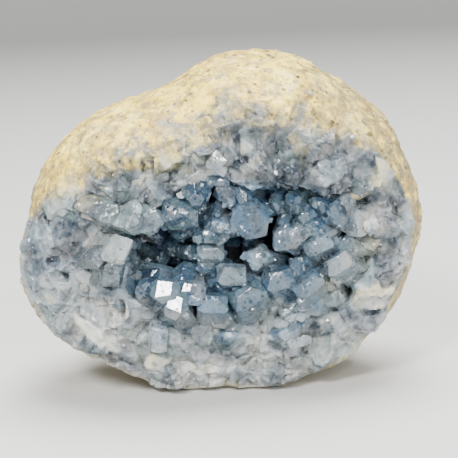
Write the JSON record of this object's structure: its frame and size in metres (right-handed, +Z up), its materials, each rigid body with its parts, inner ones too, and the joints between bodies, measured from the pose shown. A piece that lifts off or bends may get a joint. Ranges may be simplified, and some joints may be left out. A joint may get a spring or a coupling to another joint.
{
  "type": "celestite geode",
  "caption": "Rounded nodule broken open at the front, with a rough pale rind and a hollow lined with blocky blue crystals; it rests on a small flat spot.",
  "frame": {"origin": "on the ground under the middle of the box around the geode", "axes": "+Z up, the hollow opens towards -Y, and the greatest width runs along X"},
  "size_m": [0.1158, 0.0822, 0.0961],
  "materials": {
    "rind_and_wall": "matte",
    "celestite": "gloss"
  },
  "bodies": {
    "root": {"stone_shell": "rind_and_wall", "crystal_crust": "celestite"}
  },
  "joints": []
}
